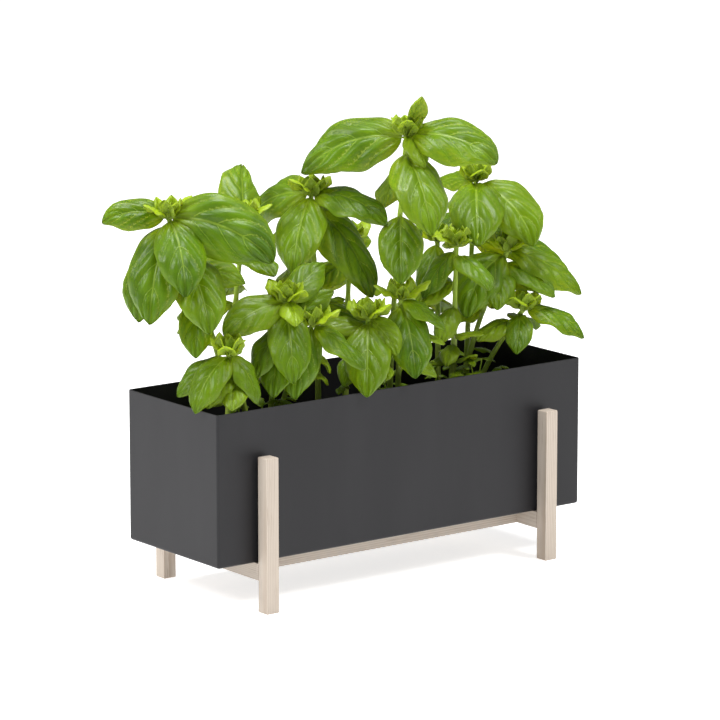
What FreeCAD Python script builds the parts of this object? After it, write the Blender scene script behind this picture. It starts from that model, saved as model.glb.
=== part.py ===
import FreeCAD, Part
import math
import os

# An indoor herb planter: a long sheet-metal box that stands between the four legs of a low wooden
# frame, with three nursery pots of basil in it. Sizes are in millimetres. The origin is on the floor
# under the middle of the stand, +X runs along the box to the right and +Y to the back.
# Names that end in share or shares hold proportions and, where a comment says so, angles in degrees.

# The box
box_length = 430.0
box_width = 144.0
box_height = 144.5
box_sheet = 1.2
box_corner_radius = 2.6
box_rim_round = 0.35

# The stand
leg_section = 14.0
leg_height = 147.0
leg_centre_x = 166.0
leg_clearance = 4.0
edge_round = 1.0
rail_width = 14.0
rail_height = 16.0
box_lift = 46.0
long_rail_setback = 26.0
dowel_diameter = 4.0
dowel_length = 23.0
dowel_in_side_wood = 9.0
dowel_spacing = 8.0
dowel_side_gap = 0.1
dowel_end_gap = 0.5

# The pots
pot_spacing = 140.0
pot_top_diameter = 105.0
pot_base_diameter = 74.0
pot_height = 104.0
pot_wall = 1.2
pot_lip_height = 9.0
pot_lip_overhang = 1.6
pot_foot_height = 3.0
pot_foot_width = 6.0
drain_hole_diameter = 9.0
drain_ring_radius = 24.0
drain_holes = 6
soil_below_rim = 9.0
soil_side_gap = 0.3
soil_crown = 2.5

# The basil
plant_height = 240.0
planting_depth = 20.0
stem_base_radius = 2.7
stem_tip_radius = 1.8
stem_soil_gap = 0.2
leaf_length = 100.0
leaf_thickness = 0.8
petiole_radius = 1.2
seat_gap = 0.3

# Proportions of a leaf: width of its length, stalk of its length, droop of its edges of its half width,
# and the two powers that shape its outline at the base and at the tip
leaf_width_share = 0.6
petiole_length_share = 0.10
leaf_cup_share = 0.22
leaf_base_share = 0.50
leaf_tip_share = 0.66
small_petiole_share = 0.45
blade_root_share = 0.05

# Places along a leaf's midrib and along a stem where their sections stand
leaf_station_shares = (0.006, 0.06, 0.2, 0.42, 0.65, 0.85, 0.96, 0.996)
stem_station_shares = (0.0, 0.2, 0.4, 0.6, 0.8, 1.0)
stem_bow_share = 1.5

# The shoots: pot, root x and y of the pot's top radius, tip x and y of the pot spacing from the pot's
# middle, and tip height of the plant height above the box's rim
shoot_shares = {
    "left_tall": (-1, -0.35, -0.40, -0.50, 0.10, 0.73),
    "left_low": (-1, -0.20, -0.65, -0.31, -0.33, 0.21),
    "left_front": (-1, 0.30, -0.50, 0.18, -0.32, 0.39),
    "left_back": (-1, 0.20, 0.60, 0.28, 0.30, 0.66),
    "middle_back": (0, -0.55, 0.45, -0.20, 0.26, 0.73),
    "middle_tall": (0, 0.45, -0.35, 0.26, -0.21, 0.98),
    "middle_front": (0, -0.30, -0.65, -0.13, -0.29, 0.27),
    "middle_low": (0, 0.40, -0.66, 0.14, -0.30, 0.33),
    "middle_rear": (0, 0.25, 0.70, 0.24, 0.40, 0.50),
    "right_back": (1, 0.20, 0.45, 0.24, 0.27, 0.70),
    "right_outer": (1, -0.05, 0.28, 0.29, -0.04, 0.43),
    "right_inner": (1, -0.70, -0.30, -0.22, -0.09, 0.49),
    "right_low": (1, 0.00, -0.04, 0.28, -0.23, 0.20),
    "right_rear": (1, -0.30, 0.65, 0.00, 0.40, 0.45),
    "left_side": (-1, 0.62, -0.30, 0.34, -0.39, 0.29),
}

# The leaves of each shoot: place up the stem, then azimuth, pitch and droop in degrees, then length of
# the largest leaf's, then roll in degrees
leaf_shares = {
    "left_tall": (
        (0.98, 150, 24, 55, 0.56, 55),
        (0.90, 168, -40, 50, 0.80, 40),
        (0.95, 210, -40, 45, 0.90, 15),
        (0.97, 252, -20, 60, 0.78, -10),
        (0.98, 305, 5, 50, 1.00, -65),
        (0.82, 258, -26, 50, 0.78, -20),
        (0.76, 286, -40, 40, 0.46, 0),
        (0.76, 150, -10, 30, 0.56, 50),
        (0.64, 226, -35, 45, 0.55, 10),
        (0.75, 335, 10, 50, 0.48, -60),
        (0.86, 75, 0, 40, 0.58, 0),
        (0.58, 80, 5, 40, 0.50, 10),
    ),
    "left_low": (
        (0.92, 150, -12, 45, 0.54, 40),
        (0.74, 165, 0, 40, 0.42, 35),
        (0.97, 188, -20, 60, 0.60, 15),
        (0.82, 192, -15, 50, 0.44, 10),
        (0.98, 300, -36, 50, 0.48, -20),
        (0.62, 180, 9, 40, 0.42, 20),
        (0.74, 228, -5, 50, 0.42, 0),
    ),
    "left_front": (
        (0.97, 169, -1, 42, 0.64, 45),
        (0.97, 10, 45, 30, 0.54, -30),
        (0.84, 340, 40, 20, 0.48, -50),
        (0.98, 250, -12, 40, 0.32, 0),
        (0.80, 194, -25, 50, 0.54, 10),
        (0.64, 172, -25, 50, 0.44, 0),
        (0.92, 244, -36, 45, 0.68, 0),
        (0.76, 222, -35, 45, 0.60, 0),
        (0.58, 80, -15, 40, 0.42, 0),
    ),
    "left_back": (
        (0.97, 56, 46, 30, 0.74, -30),
        (0.95, 100, 15, 40, 0.60, 20),
        (0.80, 115, 10, 40, 0.60, 20),
        (0.82, 262, 15, 50, 0.58, 0),
        (0.60, 130, -10, 40, 0.58, 20),
        (0.55, 30, 20, 40, 0.44, -20),
        (0.96, 190, 35, 40, 0.36, 30),
        (0.68, 66, 0, 40, 0.52, -10),
        (0.42, 100, 10, 40, 0.46, 0),
    ),
    "middle_back": (
        (0.98, 108, 5, 60, 0.80, 50),
        (0.98, 302, 12, 60, 0.76, -20),
        (0.97, 214, -25, 50, 0.80, 0),
        (0.93, 301, -32, 45, 0.96, -18),
        (0.80, 30, -15, 30, 0.44, 0),
        (0.70, 98, -18, 30, 0.52, 0),
        (0.52, 300, -20, 40, 0.84, -20),
        (0.62, 210, -10, 40, 0.55, 0),
        (0.84, 136, 0, 40, 0.40, 20),
        (0.44, 125, 5, 40, 0.44, 10),
    ),
    "middle_tall": (
        (0.97, 140, 10, 60, 0.98, 50),
        (0.98, 300, 12, 50, 0.88, -40),
        (1.00, 272, 72, 20, 0.34, 0),
        (0.98, 266, -25, 40, 0.36, 0),
        (0.92, 253, -20, 50, 0.90, 0),
        (0.86, 78, -25, 40, 0.56, 0),
        (0.71, 234, -24, 45, 0.72, 0),
        (0.62, 225, -30, 40, 0.34, 0),
    ),
    "middle_front": (
        (0.94, 231, -27, 47, 0.74, 0),
        (0.74, 200, -15, 50, 0.48, 10),
        (0.95, 60, 30, 20, 0.38, 0),
        (0.97, 280, -24, 35, 0.42, -50),
        (0.88, 130, 25, 40, 0.44, 20),
        (0.62, 262, 5, 40, 0.40, 0),
    ),
    "middle_low": (
        (0.97, 296, -10, 40, 0.46, -10),
        (0.93, 250, -30, 45, 0.72, 0),
        (0.85, 20, 0, 40, 0.30, -10),
        (0.74, 306, 0, 30, 0.40, 0),
        (0.86, 214, -35, 40, 0.44, 10),
        (0.60, 300, -20, 30, 0.40, 0),
    ),
    "middle_rear": (
        (0.98, 122, 10, 40, 0.58, 20),
        (0.96, 42, 20, 40, 0.58, -20),
        (0.85, 190, 5, 50, 0.55, 30),
        (0.82, 78, -10, 40, 0.60, -10),
        (0.65, 128, -10, 40, 0.58, 20),
        (0.62, 48, -10, 40, 0.58, -20),
        (0.50, 90, 0, 40, 0.50, 0),
        (0.75, 8, 0, 40, 0.44, -20),
    ),
    "right_back": (
        (0.97, 232, 0, 60, 0.92, 0),
        (0.96, 278, 0, 70, 0.88, -30),
        (0.88, 10, 0, 30, 0.44, -20),
        (0.78, 32, -20, 40, 0.55, -20),
        (0.97, 95, 10, 30, 0.48, 30),
        (0.72, 345, 5, 50, 0.96, -30),
        (0.82, 125, 0, 40, 0.55, 20),
        (0.70, 80, 5, 40, 0.50, 0),
    ),
    "right_outer": (
        (0.98, 322, -10, 45, 0.76, -25),
        (0.90, 296, -7, 45, 0.57, -15),
        (0.82, 300, 4, 45, 0.42, -10),
        (0.95, 194, -5, 70, 0.80, 30),
        (0.72, 50, -10, 50, 0.42, -10),
        (0.86, 230, -8, 50, 0.54, 0),
        (0.60, 172, 10, 40, 0.44, 20),
        (0.80, 240, 2, 45, 0.44, 0),
        (0.34, 345, 10, 50, 0.20, 0),
        (0.24, 215, 10, 50, 0.20, 0),
    ),
    "right_inner": (
        (0.94, 168, -35, 35, 0.50, 20),
        (0.76, 158, -10, 40, 0.40, 30),
        (0.62, 205, -25, 45, 0.40, 0),
        (0.92, 272, -5, 45, 0.54, 0),
        (0.30, 290, 30, 20, 0.24, 0),
        (0.20, 250, 30, 20, 0.20, 0),
        (0.35, 174, -15, 20, 0.22, 20),
        (0.45, 276, 25, 30, 0.33, 0),
        (0.40, 215, -10, 50, 0.28, 0),
        (0.24, 250, 0, 50, 0.24, 0),
    ),
    "right_low": (
        (0.94, 225, -20, 45, 0.46, 0),
        (0.98, 312, 6, 64, 0.60, -18),
        (0.86, 175, 0, 40, 0.42, 20),
        (0.86, 30, 5, 40, 0.54, -20),
    ),
    "right_rear": (
        (0.98, 60, 20, 30, 0.56, -10),
        (0.96, 205, -42, 30, 0.50, 0),
        (0.75, 20, -10, 40, 0.60, -30),
        (0.73, 85, -20, 40, 0.60, 0),
        (0.55, 128, -10, 30, 0.54, 20),
        (0.62, 50, -5, 40, 0.50, -10),
        (0.64, 165, 5, 40, 0.42, 20),
    ),
    "left_side": (
        (0.97, 303, -20, 35, 0.58, -10),
        (0.97, 204, -47, 30, 0.66, 30),
        (0.80, 330, -20, 60, 0.34, 0),
        (0.58, 330, 20, 90, 0.34, 0),
        (0.88, 60, 0, 40, 0.42, 0),
    ),
}

# The tuft of four young leaves at every tip: azimuth past the shoot's own and pitch in degrees, length
# of the largest leaf's; then their place up the stem, their droop and the turn from shoot to shoot
tuft_shares = ((0, 38, 0.27), (180, 34, 0.24), (90, 52, 0.19), (270, 55, 0.17))
tuft_place_share = 0.99
tuft_droop_deg = 35
tuft_turn_deg = 47

# Worked out from the sizes above
leg_inner_y = box_width / 2 + leg_clearance
leg_middle_y = leg_inner_y + leg_section / 2
rim_z = box_lift + box_height
pot_floor_z = box_lift + box_sheet
pot_rim_z = pot_floor_z + pot_height
soil_top_z = pot_rim_z - soil_below_rim


def vector(x, y, z):
    return FreeCAD.Vector(x, y, z)


def brick(low, high):
    """A box between two corners."""
    return Part.makeBox(high[0] - low[0], high[1] - low[1], high[2] - low[2], vector(*low))


def rounded_brick(low, high, radius):
    solid = brick(low, high)
    return solid.makeFillet(radius, solid.Edges)


def keep(name, shapes):
    """Writes one node, from one solid or a group of separate ones."""
    solids = [solid for shape in shapes for solid in shape.Solids]
    whole = solids[0] if len(solids) == 1 else Part.makeCompound(solids)
    whole.exportStep("parts/" + name + ".step")
    volume = sum(solid.Volume for solid in solids)
    print(name, len(solids), "solids", round(volume / 1000, 2), "cm3", whole.isValid())


# The stand


def dowel_places(along, end, side, middle):
    """Axes of the dowels at one joint: where each starts in the side wood, and its direction.

    along is the axis letter of the rail, end the face where the joint is, side which way the rail's own
    wood lies, and middle the rail's centre line in the other axis.
    """
    centre_z = box_lift - rail_height / 2
    start = end - side * dowel_in_side_wood
    places = []
    for level in (-1, 1):
        z = centre_z + level * dowel_spacing / 2
        if along == "x":
            places.append((vector(start, middle, z), vector(side, 0, 0)))
        else:
            places.append((vector(middle, start, z), vector(0, side, 0)))
    return places


def dowels(places):
    return [Part.makeCylinder(dowel_diameter / 2, dowel_length, start, way) for start, way in places]


def dowel_holes(places):
    radius = dowel_diameter / 2 + dowel_side_gap
    length = dowel_length + 2 * dowel_end_gap
    return [Part.makeCylinder(radius, length, start - way * dowel_end_gap, way) for start, way in places]


def bored(solid, holes):
    for hole in holes:
        solid = solid.cut(hole)
    return solid


def leg_joint(x_side, y_side):
    return dowel_places("y", y_side * leg_inner_y, -y_side, x_side * leg_centre_x)


def rail_joint(x_side, y_side):
    inner_x = leg_centre_x - rail_width / 2
    middle_y = box_width / 2 - long_rail_setback - rail_width / 2
    return dowel_places("x", x_side * inner_x, -x_side, y_side * middle_y)


def leg(x_side, y_side):
    centre_x = x_side * leg_centre_x
    centre_y = y_side * leg_middle_y
    half = leg_section / 2
    solid = rounded_brick(
        (centre_x - half, centre_y - half, 0),
        (centre_x + half, centre_y + half, leg_height),
        edge_round,
    )
    return bored(solid, dowel_holes(leg_joint(x_side, y_side)))


def cross_rail(x_side):
    centre_x = x_side * leg_centre_x
    half = rail_width / 2
    solid = brick(
        (centre_x - half, -leg_inner_y, box_lift - rail_height),
        (centre_x + half, leg_inner_y, box_lift),
    )
    holes = []
    for y_side in (-1, 1):
        holes += dowel_holes(leg_joint(x_side, y_side))
        holes += dowel_holes(rail_joint(x_side, y_side))
    return bored(solid, holes)


def long_rail(y_side):
    middle_y = y_side * (box_width / 2 - long_rail_setback - rail_width / 2)
    end_x = leg_centre_x - rail_width / 2
    half = rail_width / 2
    solid = brick(
        (-end_x, middle_y - half, box_lift - rail_height),
        (end_x, middle_y + half, box_lift),
    )
    holes = []
    for x_side in (-1, 1):
        holes += dowel_holes(rail_joint(x_side, y_side))
    return bored(solid, holes)


def make_stand():
    sides = {"left": -1, "right": 1}
    depths = {"front": -1, "back": 1}
    corners = [(x_side, y_side) for x_side in sides.values() for y_side in depths.values()]
    for depth, y_side in depths.items():
        for side, x_side in sides.items():
            keep("leg_" + depth + "_" + side, [leg(x_side, y_side)])
        keep("long_rail_" + depth, [long_rail(y_side)])
    for side, x_side in sides.items():
        keep("cross_rail_" + side, [cross_rail(x_side)])
    keep("leg_dowels", [peg for corner in corners for peg in dowels(leg_joint(*corner))])
    keep("rail_dowels", [peg for corner in corners for peg in dowels(rail_joint(*corner))])


# The box


def tray(inset, top):
    """The box's outline pulled in by inset, with round upright and bottom edges, up to a height."""
    x = box_length / 2 - inset
    y = box_width / 2 - inset
    base = box_lift + inset
    solid = brick((-x, -y, base), (x, y, top))
    edges = [edge for edge in solid.Edges if edge.CenterOfMass.z < top - box_corner_radius]
    return solid.makeFillet(box_corner_radius - inset, edges)


def make_box():
    shell = tray(0, rim_z).cut(tray(box_sheet, rim_z + box_height))
    rim = [edge for edge in shell.Edges if edge.BoundBox.ZMin > rim_z - box_rim_round]
    keep("planter_box", [shell.makeFillet(box_rim_round, rim)])


# The pots and the soil


def revolved(outline, centre_x):
    """A solid turned from an outline of radius and height pairs about a pot's axis."""
    points = [vector(centre_x + radius, 0, z) for radius, z in outline]
    face = Part.Face(Part.makePolygon(points + points[:1]))
    return face.revolve(vector(centre_x, 0, 0), vector(0, 0, 1), 360)


def pot_radius(z):
    """The pot's outer radius at a height, under its lip."""
    top = pot_top_diameter / 2 - pot_lip_overhang
    base = pot_base_diameter / 2
    return base + (top - base) * (z - pot_floor_z) / pot_height


def pot(centre_x):
    foot_z = pot_floor_z + pot_foot_height
    lip_z = pot_rim_z - pot_lip_height
    outline = [
        (0, foot_z),
        (pot_radius(pot_floor_z) - pot_foot_width, foot_z),
        (pot_radius(pot_floor_z) - pot_foot_width, pot_floor_z),
        (pot_radius(pot_floor_z), pot_floor_z),
        (pot_radius(lip_z), lip_z),
        (pot_radius(lip_z) + pot_lip_overhang, lip_z),
        (pot_top_diameter / 2, pot_rim_z),
        (pot_radius(pot_rim_z) - pot_wall, pot_rim_z),
        (pot_radius(foot_z + pot_wall) - pot_wall, foot_z + pot_wall),
        (0, foot_z + pot_wall),
    ]
    solid = revolved(outline, centre_x)
    for number in range(drain_holes):
        angle = 2 * math.pi * number / drain_holes
        x = centre_x + drain_ring_radius * math.cos(angle)
        y = drain_ring_radius * math.sin(angle)
        solid = solid.cut(Part.makeCylinder(drain_hole_diameter / 2, pot_height, vector(x, y, pot_floor_z)))
    return solid


def soil(centre_x, roots):
    """The root ball: the pot's inside less a gap, with a low crown and a hole for each stem."""
    base_z = pot_floor_z + pot_foot_height + pot_wall
    skin = pot_wall + soil_side_gap
    edge_z = soil_top_z - soil_crown
    solid = revolved(
        [
            (0, base_z),
            (pot_radius(base_z) - skin, base_z),
            (pot_radius(edge_z) - skin, edge_z),
            (0, soil_top_z),
        ],
        centre_x,
    )
    radius = stem_base_radius + stem_soil_gap
    for x, y in roots:
        foot = vector(x, y, soil_top_z - planting_depth)
        solid = solid.cut(Part.makeCylinder(radius, planting_depth + pot_height, foot))
    return solid


# The basil


def aim(azimuth, pitch):
    """A unit direction from its azimuth and its pitch, in degrees."""
    turn = math.radians(azimuth)
    rise = math.radians(pitch)
    return vector(math.cos(turn) * math.cos(rise), math.sin(turn) * math.cos(rise), math.sin(rise))


def stem_root(shoot):
    number, root_x, root_y = shoot_shares[shoot][:3]
    radius = pot_top_diameter / 2
    return number * pot_spacing + root_x * radius, root_y * radius


def stem_point(shoot, place):
    """A point of the stem's centre line: upright out of the soil, then leaning to its tip."""
    number, _, _, tip_x, tip_y, tip_z = shoot_shares[shoot]
    x, y = stem_root(shoot)
    lean = place**stem_bow_share
    end_x = (number + tip_x) * pot_spacing
    end_y = tip_y * pot_spacing
    end_z = rim_z + tip_z * plant_height
    return vector(
        x + (end_x - x) * lean,
        y + (end_y - y) * lean,
        soil_top_z + (end_z - soil_top_z) * place,
    )


def stem_radius(place):
    return stem_base_radius + (stem_tip_radius - stem_base_radius) * place


def stem_way(shoot, place):
    """The stem's direction, from two points close together on its centre line."""
    step = stem_station_shares[1] / 100
    below = max(place - step, 0)
    above = min(place + step, 1)
    way = stem_point(shoot, above) - stem_point(shoot, below)
    return way.normalize()


def stem(shoot):
    rings = []
    for place in stem_station_shares:
        way = stem_way(shoot, place) if place > 0 else vector(0, 0, 1)
        ring = Part.Circle(stem_point(shoot, place), way, stem_radius(place))
        rings.append(Part.Wire(ring.toShape()))
    upper = Part.makeLoft(rings, True, False)
    x, y = stem_root(shoot)
    foot = vector(x, y, soil_top_z - planting_depth)
    lower = Part.makeCylinder(stem_base_radius, planting_depth, foot)
    return upper.fuse(lower)


def outline_share(place):
    """The half width of a leaf's outline, of its widest, at a place along its midrib."""
    widest = leaf_base_share / (leaf_base_share + leaf_tip_share)
    most = widest**leaf_base_share * (1 - widest) ** leaf_tip_share
    return place**leaf_base_share * (1 - place) ** leaf_tip_share / most


def leaf_section(start, row, place):
    """One closed section of a leaf's blade: an arc on top, its copy below and two short edges."""
    azimuth, pitch, droop, size, roll = row
    length = size * leaf_length
    bend = math.radians(droop) * place / 2
    chord = length * place * (math.sin(bend) / bend if bend else 1)
    middle = start + aim(azimuth, pitch - droop * place / 2) * chord
    along = aim(azimuth, pitch - droop * place)
    across = aim(azimuth - 90, 0)
    up = across.cross(along)
    tilt = math.radians(roll)
    side = across * math.cos(tilt) + up * math.sin(tilt)
    normal = side.cross(along)
    half = outline_share(place) * length * leaf_width_share / 2
    under = normal * leaf_thickness
    drop = normal * (half * leaf_cup_share)
    left = middle - side * half - drop
    right = middle + side * half - drop
    edges = [
        Part.Arc(left, middle, right).toShape(),
        Part.makeLine(right, right - under),
        Part.Arc(right - under, middle - under, left - under).toShape(),
        Part.makeLine(left - under, left),
    ]
    return Part.Wire(edges)


def leaf(shoot, place, row):
    """A leaf with its stalk, which starts a small gap away from the stem's side."""
    azimuth, pitch, droop, size, roll = row
    thick = petiole_radius * (small_petiole_share + (1 - small_petiole_share) * size)
    reach = stem_radius(place) + seat_gap + thick * abs(math.sin(math.radians(pitch)))
    foot = stem_point(shoot, place) + aim(azimuth, 0) * reach
    way = aim(azimuth, pitch)
    length = size * leaf_length
    start = foot + way * (length * petiole_length_share)
    blade = Part.makeLoft([leaf_section(start, row, station) for station in leaf_station_shares], True, False)
    stalk_length = length * (petiole_length_share + blade_root_share)
    stalk = Part.makeCone(thick, leaf_thickness / 2, stalk_length, foot, way)
    return blade.fuse(stalk)


def tuft(number):
    rows = []
    for turn, pitch, size in tuft_shares:
        azimuth = number * tuft_turn_deg + turn
        rows.append((tuft_place_share, azimuth, pitch, tuft_droop_deg, size, 0))
    return rows


def make_herbs():
    for number, (shoot, rows) in enumerate(leaf_shares.items()):
        keep(shoot + "_stem", [stem(shoot)])
        leaves = [leaf(shoot, row[0], row[1:]) for row in list(rows) + tuft(number)]
        keep(shoot + "_leaves", leaves)


def make_pots():
    for name, number in (("left", -1), ("middle", 0), ("right", 1)):
        roots = [stem_root(shoot) for shoot in shoot_shares if shoot_shares[shoot][0] == number]
        keep("pot_" + name, [pot(number * pot_spacing)])
        keep("soil_" + name, [soil(number * pot_spacing, roots)])


os.makedirs("parts", exist_ok=True)
make_stand()
make_box()
make_pots()
make_herbs()
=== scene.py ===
import math

import bpy
import numpy as np
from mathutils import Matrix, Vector


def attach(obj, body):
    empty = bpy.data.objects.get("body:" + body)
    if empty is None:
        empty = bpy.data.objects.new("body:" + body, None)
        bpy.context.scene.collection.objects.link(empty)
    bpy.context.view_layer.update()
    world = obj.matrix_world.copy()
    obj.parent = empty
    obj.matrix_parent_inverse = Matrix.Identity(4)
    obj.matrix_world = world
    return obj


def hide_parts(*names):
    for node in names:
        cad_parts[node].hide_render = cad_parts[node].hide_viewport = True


# An indoor herb planter: a dark powder-coated box full of basil on a low stand of pale whitewashed
# ash. Everything is in metres, +X along the box to the right, +Y to the back, +Z up, with the origin
# on the floor under the middle.

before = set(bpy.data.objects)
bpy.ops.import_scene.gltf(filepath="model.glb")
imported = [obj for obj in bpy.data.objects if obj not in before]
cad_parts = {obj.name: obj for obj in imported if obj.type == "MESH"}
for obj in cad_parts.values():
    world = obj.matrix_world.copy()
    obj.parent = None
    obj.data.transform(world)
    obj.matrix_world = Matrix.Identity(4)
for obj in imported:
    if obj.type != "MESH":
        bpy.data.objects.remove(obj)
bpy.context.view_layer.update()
random = np.random.default_rng(7)

# Sizes that the plants, pots and box share with the solids, most of them in metres
box_lift, box_height, box_sheet = 0.046, 0.1445, 0.0012
pot_spacing, pot_top_diameter, pot_base_diameter, pot_height = 0.140, 0.105, 0.074, 0.104
pot_wall, pot_lip_overhang, soil_below_rim, soil_crown = 0.0012, 0.0016, 0.009, 0.0025
soil_side_gap, pot_foot_height = 0.0003, 0.003
plant_height, stem_base_radius, stem_tip_radius = 0.240, 0.0027, 0.0018
leaf_length, petiole_radius, seat_gap = 0.100, 0.0012, 0.0003
leaf_width_share, petiole_length_share, leaf_cup_share = 0.6, 0.10, 0.22
leaf_base_share, leaf_tip_share, small_petiole_share, stem_bow_share = 0.50, 0.66, 0.45, 1.5
rim_z = box_lift + box_height
pot_floor_z = box_lift + box_sheet
soil_top_z = pot_floor_z + pot_height - soil_below_rim
sides = {-1: "left", 0: "middle", 1: "right"}

# The shoots: pot, root x and y of the pot's top radius, tip x and y of the pot spacing from the pot's
# middle, and tip height of the plant height above the box's rim
shoot_shares = {
    "left_tall": (-1, -0.35, -0.40, -0.50, 0.10, 0.73),
    "left_low": (-1, -0.20, -0.65, -0.31, -0.33, 0.21),
    "left_front": (-1, 0.30, -0.50, 0.18, -0.32, 0.39),
    "left_back": (-1, 0.20, 0.60, 0.28, 0.30, 0.66),
    "middle_back": (0, -0.55, 0.45, -0.20, 0.26, 0.73),
    "middle_tall": (0, 0.45, -0.35, 0.26, -0.21, 0.98),
    "middle_front": (0, -0.30, -0.65, -0.13, -0.29, 0.27),
    "middle_low": (0, 0.40, -0.66, 0.14, -0.30, 0.33),
    "middle_rear": (0, 0.25, 0.70, 0.24, 0.40, 0.50),
    "right_back": (1, 0.20, 0.45, 0.24, 0.27, 0.70),
    "right_outer": (1, -0.05, 0.28, 0.29, -0.04, 0.43),
    "right_inner": (1, -0.70, -0.30, -0.22, -0.09, 0.49),
    "right_low": (1, 0.00, -0.04, 0.28, -0.23, 0.20),
    "right_rear": (1, -0.30, 0.65, 0.00, 0.40, 0.45),
    "left_side": (-1, 0.62, -0.30, 0.34, -0.39, 0.29),
}

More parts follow.
